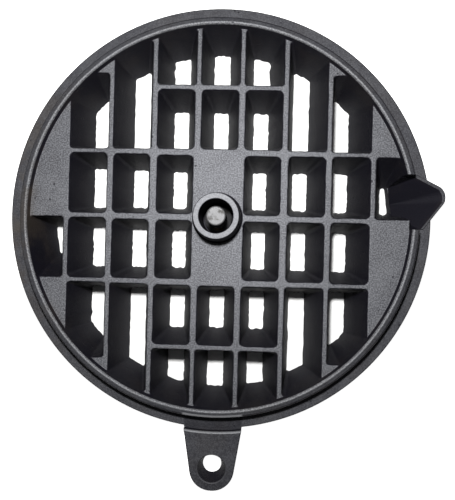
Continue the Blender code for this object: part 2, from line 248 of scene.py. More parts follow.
# ---- finishes --------------------------------------------------------------------------------
@dataclass(frozen=True)
class CastIron:
    """Sand-cast grey iron: dark skin, grain, pits, a bare boss top, a little rust bloom, and painted
    light: lit flat faces, shaded walls, hollows and rim line, highlit edges.
    """

    name: str = "cast_iron_skin"
    # The skin colour is the cast skin's near-black and also painted shade on walls, in hollows and
    # along the rim; the face colour is the flat faces' tone, painted as if lit; the next colour is
    # bare metal and also painted highlight on edges.
    skin: Colour = (0.0044, 0.0040, 0.0082)
    face: Colour = (0.164, 0.167, 0.180)
    pale_metal: Colour = (0.230, 0.233, 0.245)
    bloom: Colour = (0.070, 0.055, 0.038)
    grain_scale: float = 520.0
    blotch_scale: float = 34.0
    pit_scale: float = 95.0
    metallic: float = 0.30
    rim_in_r: float = 0.2667
    rim_out_r: float = 0.2772
    rim_top: float = 0.085
    seat: float = 0.060
    ear_r: float = 0.302
    ear_top: float = 0.070
    eye_y: float = -0.3535
    boss_r: float = 0.0308
    boss_top: float = 0.115
    bore_r: float = 0.0226

    def material(self) -> bpy.types.Material:
        """Build the node tree and give the material."""
        tree = Tree(self.name)
        at = tree.place()
        x, y, z = tree.parts(at)
        radius = (x * x + y * y) ** 0.5
        up = tree.parts(tree.add("ShaderNodeNewGeometry", output="Normal"))[2]
        flat = (up * up).ramp(0.55, 0.97)
        grain = tree.noise(at, self.grain_scale, 5.0, 0.62)
        blotch = tree.noise(at, self.blotch_scale, 4.0, 0.6)
        speck = grain.ramp(0.40, 0.66)
        # Painted light and shade: faces that lie flat get the lit face colour, steep walls the
        # near-black skin colour.
        colour = self._painted_face_light(radius, flat, blotch, speck).mix(self.skin, self.face)
        by_ear = (x * x).ramp(0.0015, 0.0019, 1.0, 0.0) * y.ramp(-0.262, -0.268)
        above_seat = z.ramp(self.seat + 0.0055, self.seat + 0.0080)
        # Painted shade: a dark line along the rim's outer rounding, fainter on the -X side and left
        # out by the ear.
        outer = radius.ramp(self.rim_out_r - 0.0030, self.rim_out_r - 0.0020) * above_seat
        outer = outer * (1.0 - by_ear) * x.ramp(-0.20, -0.05, 0.25, 0.92)
        colour = outer.mix(colour, self.skin)
        # Painted shade on the flange between the rim and the ear's raised plate.
        ledge = by_ear * radius.band(self.rim_out_r + 0.0006, self.rim_out_r + 0.0018,
                                     self.ear_r - 0.0005, self.ear_r + 0.0005)
        colour = (ledge * 0.55).mix(colour, self.skin)
        # Painted highlight along the rim's outer top edge where it meets the ear.
        ear_rim_highlight = by_ear * above_seat * radius.band(self.rim_out_r - 0.0046, self.rim_out_r - 0.0034,
                                                self.rim_out_r + 0.0018, self.rim_out_r + 0.0028)
        # Pale metal: bare metal on the boss top, and painted highlights along the rim's inner edge
        # (with some edge wear there), on the rim by the ear and on the ear's edges.
        bright = (self._lip_wear_and_highlight(radius, z, speck) * 0.85 + self._boss_top(radius, z) * flat * 0.40
                  + ear_rim_highlight * 0.95 + self._ear_edge_highlight(x, y, radius, z) * 0.8)
        colour = bright.ramp(0.0, 1.0).mix(colour, self.pale_metal)
        colour = (self._bloom(tree, at) * 0.45).mix(colour, self.bloom)
        # Painted shade in the boss's bore and the nose's hollow.
        colour = self._hollow_shade(x, z, radius).mix(colour, self.skin)
        pits = 1.0 - tree.cells(at, self.pit_scale).ramp(0.05, 0.20)
        pits = pits * tree.noise(at, self.pit_scale / 3.0, 2.0).ramp(0.52, 0.62)
        colour = (pits * 0.7).mix(colour, self.skin)
        sand = tree.cells(at, self.grain_scale * 0.9) * 0.5 + grain * 0.9
        height = sand * 0.35 + blotch * 0.25 - pits * 0.9
        roughness = 0.46 + 0.12 * blotch + 0.18 * grain + 0.10 * (1.0 - flat)
        return tree.finish(Base_Color=colour, Metallic=self.metallic, Roughness=roughness,
                           Specular_IOR_Level=0.25, Normal=tree.bump(height, 0.0011, 0.85))

    def _painted_face_light(self, radius: Term, flat: Term, blotch: Term, speck: Term) -> Term:
        """Painted light: say how far faces that lie flat are painted lighter than steep walls, a
        little less at the middle, less on the ring and least on the ear, where the light falls off;
        grain and blotches add random tone.
        """
        ring = radius.ramp(self.rim_in_r - 0.0012, self.rim_in_r + 0.0008)
        face_light = flat * (0.45 + 0.35 * blotch + (0.45 - 0.20 * ring) * speck).ramp(0.25, 1.15)
        face_light = face_light * radius.ramp(0.06, 0.24, 0.97, 1.0) * (1.0 - 0.36 * ring)
        return face_light * radius.ramp(self.ear_r - 0.002, self.ear_r + 0.001, 1.0, 0.88)

    def _lip_wear_and_highlight(self, radius: Term, z: Term, speck: Term) -> Term:
        """Bare metal and painted highlight along the rim's inner top edge."""
        edge = radius.band(self.rim_in_r - 0.0012, self.rim_in_r - 0.0005,
                           self.rim_in_r + 0.0027, self.rim_in_r + 0.0037)
        return edge * z.ramp(self.rim_top - 0.0038, self.rim_top - 0.0025) * (0.45 + 0.55 * speck)

    def _boss_top(self, radius: Term, z: Term) -> Term:
        """The boss's top, bare from rubbing."""
        inside = radius.ramp(self.boss_r + 0.0004, self.boss_r + 0.0022, 1.0, 0.0)
        return inside * z.ramp(self.boss_top - 0.005, self.boss_top - 0.002)

    def _ear_edge_highlight(self, x: Term, y: Term, radius: Term, z: Term) -> Term:
        """Painted highlight along the ear's inner edge and, fainter, round the mouth of its eye."""
        edge = radius.band(self.ear_r - 0.0008, self.ear_r, self.ear_r + 0.0014,
                           self.ear_r + 0.0024)
        down = y - self.eye_y
        mouth = ((x * x + down * down) ** 0.5).band(0.0190, 0.0198, 0.0206, 0.0214)
        pale_metal = edge * y.ramp(-0.28, -0.29) + mouth * 0.35
        return pale_metal * z.ramp(self.ear_top - 0.0060, self.ear_top - 0.0020)

    def _hollow_shade(self, x: Term, z: Term, radius: Term) -> Term:
        """Painted shade down the boss's bore and in the nose's hollow."""
        bore = radius.ramp(self.bore_r - 0.0001, self.bore_r + 0.0009, 1.0, 0.0)
        bore = bore * z.ramp(self.boss_top - 0.004, self.boss_top - 0.001, 1.0, 0.0)
        nose = x.ramp(self.rim_in_r - 0.0027, self.rim_in_r + 0.0033)
        nose = nose * z.ramp(self.seat - 0.0040, self.seat - 0.0005, 1.0, 0.0)
        return (bore * 0.9 + nose * 0.8).ramp(0.0, 1.0)

    def _bloom(self, tree: Tree, at: Term) -> Term:
        """Rust bloom, in patches, most of it on the -X side of the ring."""
        x, y, _ = tree.parts(at)
        side = x.ramp(-0.30, -0.20, 1.0, 0.18) * (x * x + y * y).ramp(0.0650, 0.0705, 0.25, 1.0)
        return side * tree.noise(at, 21.0, 4.0, 0.65).ramp(0.42, 0.66)


@dataclass(frozen=True)
class Metal:
    """A plain metal with fine scratches, mottling and dirt."""

    name: str
    clean: Colour
    dirty: Colour
    roughness: float = 0.38
    metallic: float = 0.95
    dirt: float = 0.45
    grain_scale: float = 900.0
    relief: float = 0.0003

    def material(self) -> bpy.types.Material:
        """Build the node tree and give the material."""
        tree = Tree(self.name)
        at = tree.place()
        grain = tree.noise(at, self.grain_scale, 4.0, 0.6)
        patch = tree.noise(at, self.grain_scale / 7.0, 3.0, 0.6)
        soiled = patch.ramp(0.62 - 0.3 * self.dirt, 0.80 - 0.2 * self.dirt)
        colour = (soiled * 0.8).mix(self.clean, self.dirty)
        colour = (grain.ramp(0.50, 0.72) * 0.35).mix(colour, self.dirty)
        roughness = self.roughness + 0.18 * grain + 0.15 * soiled
        height = grain * 0.7 + patch * 0.5
        return tree.finish(Base_Color=colour, Metallic=self.metallic, Roughness=roughness,
                           Normal=tree.bump(height, self.relief, 0.8))


@dataclass(frozen=True)
class Rubber:
    """Black moulded rubber with a dusty bloom."""

    name: str = "seal_rubber_skin"
    black: Colour = (0.018, 0.018, 0.020)
    dust: Colour = (0.075, 0.070, 0.064)

    def material(self) -> bpy.types.Material:
        """Build the node tree and give the material."""
        tree = Tree(self.name)
        at = tree.place()
        dusty = tree.noise(at, 260.0, 4.0, 0.6).ramp(0.45, 0.75)
        height = tree.noise(at, 1400.0, 2.0)
        return tree.finish(Base_Color=(dusty * 0.6).mix(self.black, self.dust),
                           Roughness=0.68 + 0.22 * dusty, Metallic=0.0,
                           Normal=tree.bump(height, 0.0001, 0.6))


# ---- modelling with operators ----------------------------------------------------------------
class Bench:
    """Modelling steps, each an operator on one object that is alone selected."""

    @staticmethod
    def take(piece: bpy.types.Object) -> None:
        """Deselect everything, then select one object and make it active."""
        if bpy.context.object and bpy.context.object.mode != "OBJECT":
            bpy.ops.object.mode_set(mode="OBJECT")
        bpy.ops.object.select_all(action="DESELECT")
        piece.select_set(True)
        bpy.context.view_layer.objects.active = piece

    @staticmethod
    def added(name: str) -> bpy.types.Object:
        """Name the object that an operator just added."""
        piece = bpy.context.active_object
        piece.name = name
        piece.data.name = name
        return piece

    @staticmethod
    def chain(name: str, points: Sequence[Point], closed: bool) -> bpy.types.Object:
        """Lay a circle's points along a profile in the XZ plane.

        Args:
            name: the object's name.
            points: (radius, height) of each point.
            closed: whether the last point joins the first.

        Returns:
            An object of edges only.
        """
        bpy.ops.object.select_all(action="DESELECT")
        bpy.ops.mesh.primitive_circle_add(vertices=len(points), radius=1.0)
        piece = Bench.added(name)
        for vert, (radius, height) in zip(piece.data.vertices, points):
            vert.co = (radius, 0.0, height)
        if not closed:
            last = {0, len(points) - 1}
            bpy.ops.object.mode_set(mode="EDIT")
            mesh = bmesh.from_edit_mesh(piece.data)
            for edge in mesh.edges:
                edge.select_set({vert.index for vert in edge.verts} == last)
            bmesh.update_edit_mesh(piece.data)
            bpy.ops.mesh.delete(type="EDGE_FACE")
            bpy.ops.object.mode_set(mode="OBJECT")
        return piece

    @staticmethod
    def turned(name: str, points: Sequence[Point], steps: int = 96) -> bpy.types.Object:
        """Spin a profile about the Z axis into a closed form.

        Args:
            name: the object's name.
            points: (radius, height) of each point. One that starts and ends on the axis stays open.
            steps: flats round the axis.

        Returns:
            The turned object, with its flat ends as single faces.
        """
        piece = Bench.chain(name, points, closed=points[0][0] > 0.0)
        bpy.ops.object.mode_set(mode="EDIT")
        bpy.ops.mesh.select_all(action="SELECT")
        bpy.ops.mesh.spin(steps=steps, angle=2.0 * pi, center=(0.0, 0.0, 0.0),
                          axis=(0.0, 0.0, 1.0))
        bpy.ops.mesh.select_all(action="SELECT")
        bpy.ops.mesh.remove_doubles(threshold=0.000002)
        bpy.ops.mesh.normals_make_consistent(inside=False)
        bpy.ops.mesh.select_mode(type="FACE")
        mesh = bmesh.from_edit_mesh(piece.data)
        for face in mesh.faces:
            face.select_set(any(hypot(v.co.x, v.co.y) < 0.000005 for v in face.verts))
        bpy.ops.mesh.dissolve_faces()
        bpy.ops.object.mode_set(mode="OBJECT")
        return piece

    @staticmethod
    def lofted(name: str, levels: Sequence[tuple[float, Sequence[Point]]]) -> bpy.types.Object:
        """Extrude a flat outline upwards through others that have as many points.

        Args:
            name: the object's name.
            levels: (height, outline) of each level, from the lowest up.

        Returns:
            The closed form.
        """
        count = len(levels[0][1])
        bpy.ops.object.select_all(action="DESELECT")
        bpy.ops.mesh.primitive_circle_add(vertices=count, radius=1.0, fill_type="NGON")
        piece = Bench.added(name)
        place = {index: index for index in range(count)}
        for vert, (x, y) in zip(piece.data.vertices, levels[0][1]):
            vert.co = (x, y, levels[0][0])
        bpy.ops.object.mode_set(mode="EDIT")
        bpy.ops.mesh.select_all(action="SELECT")
        for height, outline in levels[1:]:
            bpy.ops.mesh.extrude_region_move()
            mesh = bmesh.from_edit_mesh(piece.data)
            raised = [vert for vert in mesh.verts if vert.select]
            for vert in raised:
                below = next(edge.other_vert(vert) for edge in vert.link_edges
                             if not edge.other_vert(vert).select)
                place[vert.index] = place[below.index]
                vert.co = (*outline[place[vert.index]], height)
            bmesh.update_edit_mesh(piece.data)
        bpy.ops.mesh.select_all(action="SELECT")
        bpy.ops.mesh.normals_make_consistent(inside=False)
        bpy.ops.object.mode_set(mode="OBJECT")
        return piece

    @staticmethod
    def bevel(piece: bpy.types.Object, width: float, segments: int, angle: float) -> None:
        """Round the edges that turn by more than an angle in degrees."""
        Bench.take(piece)
        step = piece.modifiers.new("round", "BEVEL")
        step.width = width
        step.segments = segments
        step.limit_method = "ANGLE"
        step.angle_limit = radians(angle)
        bpy.ops.object.modifier_apply(modifier=step.name)

    @staticmethod
    def combine(piece: bpy.types.Object, tool: bpy.types.Object, operation: str) -> None:
        """Join or cut a piece with a tool, then throw the tool away."""
        Bench.take(piece)
        step = piece.modifiers.new("combine", "BOOLEAN")
        step.object = tool
        step.operation = operation
        step.solver = "EXACT"
        bpy.ops.object.modifier_apply(modifier=step.name)
        bpy.data.objects.remove(tool, do_unlink=True)

    @staticmethod
    def joined(pieces: Sequence[bpy.types.Object]) -> bpy.types.Object:
        """Put separate tools in one object."""
        Bench.take(pieces[0])
        for piece in pieces:
            piece.select_set(True)
        bpy.ops.object.join()
        return pieces[0]

    @staticmethod
    def shaded(piece: bpy.types.Object, angle: float = 32.0) -> None:
        """Shade smooth, with edges sharper than an angle kept and wide faces left flat."""
        Bench.take(piece)
        bpy.ops.object.mode_set(mode="EDIT")
        bpy.ops.mesh.select_all(action="SELECT")
        bpy.ops.mesh.remove_doubles(threshold=0.000004)
        bpy.ops.mesh.dissolve_degenerate(threshold=0.000002)
        bpy.ops.object.mode_set(mode="OBJECT")
        bpy.ops.object.shade_smooth_by_angle(angle=radians(angle))
        step = piece.modifiers.new("weigh", "WEIGHTED_NORMAL")
        step.keep_sharp = True
        step.weight = 60
        bpy.ops.object.modifier_apply(modifier=step.name)


def arc(centre: Point, radius: float, start: float, end: float, steps: int) -> list[Point]:
    """Points on an arc.

    Args:
        centre: its centre.
        radius: its radius.
        start: angle of the first point, in degrees.
        end: angle of the last point, in degrees.
        steps: number of chords.

    Returns:
        The points, in order.
    """
    turns = [radians(start + (end - start) * index / steps) for index in range(steps + 1)]
    return [(centre[0] + radius * cos(turn), centre[1] + radius * sin(turn)) for turn in turns]


def softened(corners: Sequence[Point], radii: Sequence[float], steps: int) -> list[Point]:
    """Replace an outline's corners with arcs.

    Args:
        corners: the corners, in order.
        radii: the radius at each, 0 to keep it.
        steps: chords in each arc.

    Returns:
        The outline's points.
    """
    outline: list[Point] = []
    for index, radius in enumerate(radii):
        here = Vector(corners[index])
        back = (Vector(corners[index - 1]) - here).normalized()
        ahead = (Vector(corners[(index + 1) % len(corners)]) - here).normalized()
        if radius <= 0.0:
            outline.append((here.x, here.y))
            continue
        half = back.angle(ahead) / 2.0
        centre = here + (back + ahead).normalized() * (radius / sin(half))
        first = here + back * (radius / tan(half)) - centre
        sweep = first.angle_signed(here + ahead * (radius / tan(half)) - centre)
        for step in range(steps + 1):
            turn = -sweep * step / steps
            outline.append((centre.x + first.x * cos(turn) - first.y * sin(turn),
                            centre.y + first.x * sin(turn) + first.y * cos(turn)))
    return outline


# ---- the grid's cells ------------------------------------------------------------------------
@dataclass
class Cell:
    """One cell: a box that the round wall cuts off, with round corners and sloping sides."""

    box: tuple[float, float, float, float]
    slopes: tuple[float, float, float, float]
    wall_r: float
    wall_slope: float
    top: float
    corner_top: float = 0.0062
    corner_foot: float = 0.0036
    lip: float = 0.0019
    foot_lip: float = 0.0012
    wander_top: float = 0.0005
    wander_foot: float = 0.0016
    side_points: int = 13

    def sides(self, lean: float, grow: float) -> tuple[float, float, float, float]:
        """Give (low x, high x, low y, high y) at a share of the way down, grown outwards."""
        low_x, high_x, low_y, high_y = self.box
        slope = [value * lean for value in self.slopes]
        return (low_x + slope[0] - grow, high_x - slope[1] + grow,
                low_y + slope[2] - grow, high_y - slope[3] + grow)

    def corners(self, box: Sequence[float], radius: float) -> list[Point]:
        """List the corners of a box that a circle about the axis cuts off."""
        low_x, high_x, low_y, high_y = box
        found = [(x, y) for x in (low_x, high_x) for y in (low_y, high_y)
                 if hypot(x, y) <= radius]
        for x in (low_x, high_x):
            if abs(x) < radius:
                reach = sqrt(radius * radius - x * x)
                found += [(x, y) for y in (-reach, reach) if low_y < y < high_y]
        for y in (low_y, high_y):
            if abs(y) < radius:
                reach = sqrt(radius * radius - y * y)
                found += [(x, y) for x in (-reach, reach) if low_x < x < high_x]
        return found

    def directions(self) -> list[float]:
        """Choose the directions of the outline's points: closer together along the round wall."""
        turns = {radians(9.0 * index + 4.5) for index in range(40)}
        on_wall = [atan2(y, x) for x, y in self.corners(self.sides(0.0, 0.0), self.wall_r)
                   if hypot(x, y) > self.wall_r - 0.000001]
        if len(on_wall) == 2:
            start, end = sorted(on_wall)
            if end - start > pi:
                start, end = end, start + 2.0 * pi
            turns |= {(start + (end - start) * index / 12.0) % (2.0 * pi) for index in range(13)}
        return sorted(turns)

    def outline(self, height: float, grow: float, turns: Sequence[float]) -> list[Point]:
        """Give the cell's outline at a height.

        Args:
            height: height above the walking face.
            grow: how far the sides stand outwards there, for a rounded edge.
            turns: directions of the outline's points.

        Returns:
            One point for each direction.
        """
        lean = 1.0 - min(max(height / self.top, 0.0), 1.0)
        above = max(height - self.top, 0.0) / self.top
        wall = self.wall_r - self.wall_slope * (lean - above)
        low_x, high_x, low_y, high_y = self.sides(lean, grow)
        corner = self.corner_top + (self.corner_foot - self.corner_top) * lean
        room = [min(high_x, wall) - max(low_x, -wall), min(high_y, wall) - max(low_y, -wall)]
        corner = min(corner, 0.28 * min(room))
        inner = (low_x + corner, high_x - corner, low_y + corner, high_y - corner)
        reach = wall - corner
        ends = self.corners(inner, reach)
        points: list[Point] = []
        for turn in turns:
            out = (cos(turn), sin(turn))
            spot = (reach * out[0], reach * out[1])
            if not (inner[0] <= spot[0] <= inner[1] and inner[2] <= spot[1] <= inner[3]):
                spot = max(ends, key=lambda end: end[0] * out[0] + end[1] * out[1])
            points.append((spot[0] + corner * out[0], spot[1] + corner * out[1]))
        return self._roughened(points, turns, lean)

    def _roughened(self, points: Sequence[Point], turns: Sequence[float],
                   lean: float) -> list[Point]:
        """Add points along the straight sides and let the outline wander, most at the foot.

        Args:
            points: the smooth outline.
            turns: direction of each of its points.
            lean: share of the way down, 0 at the rib tops.

        Returns:
            The rougher outline.
        """
        rough: list[Point] = []
        for index, here in enumerate(points):
            after = points[(index + 1) % len(points)]
            rough.append(here)
            middle = (turns[index] + turns[(index + 1) % len(turns)]) / 2.0
            if index < len(points) - 1 and cos(4.0 * middle) > 0.999:
                rough += [self._between(here, after, (step + 1) / (self.side_points + 1))
                          for step in range(self.side_points)]
            elif index == len(points) - 1:
                rough += [self._between(here, after, (step + 1) / (self.side_points + 1))
                          for step in range(self.side_points)]
        mid = (sum(x for x, _ in rough) / len(rough), sum(y for _, y in rough) / len(rough))
        size = self.wander_top + (self.wander_foot - self.wander_top) * lean ** 3
        return [self._drifted(spot, mid, size, lean) for spot in rough]

    @staticmethod
    def _between(start: Point, end: Point, share: float) -> Point:
        """Give the point a share of the way from one to another."""
        return (start[0] + (end[0] - start[0]) * share, start[1] + (end[1] - start[1]) * share)

    @staticmethod
    def _drifted(spot: Point, mid: Point, size: float, lean: float) -> Point:
        """Move a point towards or away from the outline's middle by seeded noise."""
        x, y = spot
        slow = noise.noise(Vector((x * 55.0, y * 55.0, 3.0)))
        fast = noise.noise(Vector((x * 190.0, y * 190.0, 7.0 + lean)))
        span = hypot(x - mid[0], y - mid[1])
        share = 1.0 + size * (0.8 * slow + 1.1 * fast) / span
        return (mid[0] + (x - mid[0]) * share, mid[1] + (y - mid[1]) * share)

    def levels(self, over: float) -> list[tuple[float, float]]:
        """List (height, growth) from below the walking face to a height over the rib tops."""
        foot = [(self.foot_lip * (1.0 - sin(turn)), self.foot_lip * (1.0 - cos(turn)))
                for turn in (radians(90.0), radians(60.0), radians(30.0), 0.0)]
        lip = [(self.top - self.lip * (1.0 - sin(turn)), self.lip * (1.0 - cos(turn)))
               for turn in (0.0, radians(22.0), radians(45.0), radians(66.0), radians(84.0))]
        below = [(-0.002, self.foot_lip * 1.05)]
        above = [(self.top + 0.0002, self.lip * 1.02), (over, self.lip * 1.03)]
        return below + foot + lip + above

    def tool(self, over: float) -> bpy.types.Object:
        """Model the solid that cuts this cell."""
        turns = self.directions()
        levels = [(height, self.outline(height, grow, turns))
                  for height, grow in self.levels(over)]
        return Bench.lofted("cell_tool", levels)


@dataclass
class Grid:
    """The grid of ribs, described by the cells between them."""

    pitch_x: float = 0.0612
    pitch_y: float = 0.0910
    rib_x: float = 0.0112
    rib_y: float = 0.0100
    thinning: float = 0.0040
    thin_from: float = 0.095
    thin_to: float = 0.225
    slope_low_x: float = 0.0131
    slope_high_x: float = 0.0168
    slope_low_y: float = 0.0130
    slope_high_y: float = 0.0117
    slope_end: float = 0.0265
    end_y: float = 0.200
    ledge: float = 0.0011
    corner_by_ring: float = 0.0042
    columns: int = 9
    rows: int = 6

    def plan(self) -> list[tuple[int, int, int]]:
        """List the cells as (column, first row, last row)."""
        cells = [(column, row, row) for column in (3, 5) for row in range(1, 7)]
        cells += [(4, row, row) for row in (1, 2, 5, 6)]
        for column in (1, 2, 6, 7):
            cells += [(column, 1, 2), (column, 3, 3), (column, 4, 4), (column, 5, 6)]
        return cells + [(0, 4, 4), (8, 3, 3)]

    def half_rib(self, width: float, x: float, y: float) -> float:
        """Half the width of a rib's top beside a cell, which falls towards the rim."""
        share = (hypot(x, y) - self.thin_from) / (self.thin_to - self.thin_from)
        return (width - self.thinning * min(max(share, 0.0), 1.0)) / 2.0

    def cell(self, spot: tuple[int, int, int], casting: "CoverCasting") -> Cell:
        """Describe one cell.

        Args:
            spot: (column, first row, last row).
            casting: the casting that it is in.

        Returns:
            The cell's sides, slopes and wall.
        """
        column, first, last = spot
        beyond = casting.cover_r
        left = (column - self.columns / 2.0) * self.pitch_x
        right = left + self.pitch_x
        upper = (self.rows / 2.0 - first + 1) * self.pitch_y
        lower = (self.rows / 2.0 - last) * self.pitch_y
        mid_x, mid_y = (left + right) / 2.0, (upper + lower) / 2.0
        low_x = left + self.half_rib(self.rib_x, left, mid_y) if column > 0 else -beyond
        high_x = right - self.half_rib(self.rib_x, right, mid_y)
        high_x = high_x if column < self.columns - 1 else beyond
        high_y = upper - self.half_rib(self.rib_y, mid_x, upper) if first > 1 else beyond
        low_y = lower + self.half_rib(self.rib_y, mid_x, lower) if last < self.rows else -beyond
        if column in (1, self.columns - 2):
            high_y, low_y = min(high_y, self.end_y), max(low_y, -self.end_y)
        slopes = (self.slope_end if column == self.columns - 1 else self.slope_low_x,
                  self.slope_end if column == 0 else self.slope_high_x,
                  self.slope_low_y, self.slope_high_y)
        cell = Cell((low_x, high_x, low_y, high_y), slopes, casting.rim_in_r - self.ledge,
                    casting.wall_slope, casting.rib_top)
        if hypot(max(-low_x, high_x), max(-low_y, high_y)) > cell.wall_r:
            cell.corner_top = self.corner_by_ring
        return cell


# ---- the casting -----------------------------------------------------------------------------
@dataclass
class CoverCasting:
    """The one-piece iron casting: flange, rim, grid, boss, hinge ear and locating nose."""

    cover_r: float = 0.300
    rim_in_r: float = 0.2667
    rim_wall: float = 0.0105
    rib_top: float = 0.075
    seat: float = 0.060
    rim_top: float = 0.085
    wall_slope: float = 0.0095
    boss_r: float = 0.0308
    boss_top: float = 0.115
    boss_foot_r: float = 0.0372
    bore_r: float = 0.0226
    bore_floor: float = 0.040
    bush_hole_r: float = 0.0171
    recess_r: float = 0.0320
    recess_top: float = 0.0221
    ear_root_half: float = 0.0440
    ear_end_half: float = 0.0272
    ear_end_y: float = -0.385
    ear_round: float = 0.0307
    ear_top: float = 0.070
    ear_back: float = 0.048
    ear_gap_r: float = 0.302
    eye_y: float = -0.3535
    eye_top_r: float = 0.0192
    eye_back_r: float = 0.0132
    nose_low: Point = (0.2889, -0.0090)
    nose_tip: Point = (0.3282, 0.0431)
    nose_high: Point = (0.2800, 0.0672)
    nose_round: float = 0.0177
    nose_top: float = 0.062
    nose_foot: float = 0.012
    steps: int = 192
    grid: Grid = field(default_factory=Grid)

    def blank(self) -> bpy.types.Object:
        """Turn the flange, the rim and a solid centre."""
        inner, outer = self.rim_in_r, self.rim_in_r + self.rim_wall
        profile: list[Point] = [(0.0, self.rib_top)]
        profile += arc((inner - 0.0023, self.rib_top + 0.0012), 0.0012, 270.0, 353.0, 3)
        profile += arc((inner + 0.0024, self.rim_top - 0.0024), 0.0024, 176.0, 78.0, 6)
        profile += arc((outer - 0.0032, self.rim_top - 0.0050), 0.0032, 72.0, 4.0, 5)
        profile += arc((outer + 0.0062, self.seat + 0.0034), 0.0034, 186.0, 270.0, 5)
        profile += arc((self.cover_r - 0.0026, self.seat - 0.0026), 0.0026, 90.0, 2.0, 6)
        profile += arc((self.cover_r - 0.0050, 0.0020), 0.0020, -3.0, -90.0, 4)
        return Bench.turned("cover_casting_skin", profile + [(0.0, 0.0)], self.steps)

    def cells(self) -> bpy.types.Object:
        """Model every cell's tool."""
        tools = [self.grid.cell(spot, self).tool(self.rim_top + 0.003)
                 for spot in self.grid.plan()]
        return Bench.joined(tools)

    def ear(self) -> bpy.types.Object:
        """Model the hinge ear with its raised plate."""
        root_y = -(self.rim_in_r + self.rim_wall + 0.003)
        side = [(self.ear_root_half, root_y), (self.ear_end_half, self.ear_end_y)]
        corners = [(-x, y) for x, y in side] + side[::-1]
        outline = softened(corners, [0.0, self.ear_round, self.ear_round, 0.0], 14)
        ear = Bench.lofted("ear", [(self.ear_back, outline), (self.ear_top, outline)])
        Bench.bevel(ear, 0.0024, 4, 50.0)
        over, edge, gap_r = self.ear_top + 0.005, 0.0022, self.ear_gap_r
        floor = self.seat - 0.0003
        gap = [(0.0, over), (gap_r + edge, over)]
        gap += arc((gap_r + edge, self.ear_top - 0.0021), edge, 88.0, 180.0, 5)
        gap += [(gap_r, floor), (0.0, floor)]
        Bench.combine(ear, Bench.turned("ear_gap", gap, self.steps), "DIFFERENCE")
        return ear

    def eye(self) -> bpy.types.Object:
        """Model the tool for the ear's tapered eye, with rounded mouths."""
        over, under = self.ear_top + 0.005, self.ear_back - 0.003
        mouth_r, back_r = self.eye_top_r + 0.0024, self.eye_back_r + 0.0016
        profile = [(0.0, over), (mouth_r, over)]
        profile += arc((mouth_r, self.ear_top - 0.0023), 0.0024, 88.0, 168.0, 4)
        profile += arc((back_r, self.ear_back + 0.0015), 0.0016, 168.0, 272.0, 3)
        eye = Bench.turned("eye", profile + [(back_r, under), (0.0, under)], 64)
        Bench.take(eye)
        bpy.ops.transform.translate(value=(0.0, self.eye_y, 0.0))
        bpy.ops.object.transform_apply()
        return eye

    def nose(self) -> tuple[bpy.types.Object, bpy.types.Object]:
        """Model the nose's outside and the tool for its hollow.

        Returns:
            The solid and its cutting tool.
        """
        corners = [(0.2720, self.nose_low[1]), self.nose_low, self.nose_tip, self.nose_high,
                   (0.2660, 0.0690)]
        outline = softened(corners, [0.0, 0.0, self.nose_round, 0.0, 0.0], 20)
        body = Bench.lofted("nose", [(self.nose_foot, outline), (self.nose_top, outline)])
        Bench.bevel(body, 0.0014, 4, 50.0)
        hollow = [(0.2655, -0.0094), (0.2834, -0.0094), (0.3207, 0.0402), (0.2742, 0.0635),
                  (0.2500, 0.0635), (0.2500, 0.0062), (0.2655, 0.0062)]
        foot = [(0.2512, 0.0165), (0.2540, 0.0165), (0.2550, 0.0300), (0.2530, 0.0550),
                (0.2500, 0.0550), (0.2500, 0.0180), (0.2506, 0.0172)]
        radii = [0.0, 0.003, 0.0132, 0.003, 0.0, 0.0, 0.0]
        foot_radii = [0.0, 0.0003, 0.0003, 0.0003, 0.0, 0.0, 0.0]
        steps = [(self.nose_foot, softened(foot, foot_radii, 10))]
        for height, grow in ((self.nose_top - 0.0015, 0.0), (self.nose_top - 0.0007, 0.0002),
                             (self.nose_top, 0.0010), (self.rim_top + 0.003, 0.0011)):
            steps.append((height, softened(self._grown(hollow, grow), radii, 10)))
        return body, Bench.lofted("nose_hollow", steps)

    @staticmethod
    def _grown(corners: Sequence[Point], distance: float) -> list[Point]:
        """Move every side of an anticlockwise outline outwards by a distance."""
        grown = []
        for index, here in enumerate(corners):
            spot = Vector(here)
            before = (spot - Vector(corners[index - 1])).normalized()
            after = (Vector(corners[(index + 1) % len(corners)]) - spot).normalized()
            out = (Vector((before.y, -before.x)) + Vector((after.y, -after.x))).normalized()
            moved = spot + out * (distance / max(out.dot(Vector((before.y, -before.x))), 0.2))
            grown.append((moved.x, moved.y))
        return grown

    def boss(self) -> bpy.types.Object:
        """Turn the boss, with a fillet at its foot and rounded edges."""
        edge, fillet, foot_r = 0.0014, 0.0038, self.boss_foot_r
        profile: list[Point] = [(0.0, self.boss_top)]
        profile += arc((self.boss_r - edge, self.boss_top - edge), edge, 90.0, 8.0, 4)
        profile += arc((foot_r, self.rib_top + 0.0035), fillet, 186.0, 272.0, 6)
        return Bench.turned("boss", profile + [(foot_r, 0.070), (0.0, 0.070)], 96)

    def bore(self) -> bpy.types.Object:
        """Turn the tool for the stepped bolt hole, from the boss's mouth to the head's recess."""
        mouth, over, under = 0.0015, self.boss_top + 0.004, -0.002
        centre = (self.bore_r + mouth, self.boss_top - mouth)
        profile: list[Point] = [(0.0, over), (centre[0], over)]
        profile += arc(centre, mouth, 88.0, 180.0, 5)
        profile += [(self.bore_r, self.bore_floor), (self.bush_hole_r, self.bore_floor),
                    (self.bush_hole_r, self.recess_top), (self.recess_r, self.recess_top)]
        profile += arc((self.recess_r + mouth, 0.0016), mouth, 180.0, 272.0, 4)
        return Bench.turned("bore", profile + [(self.recess_r + mouth, under), (0.0, under)], 96)

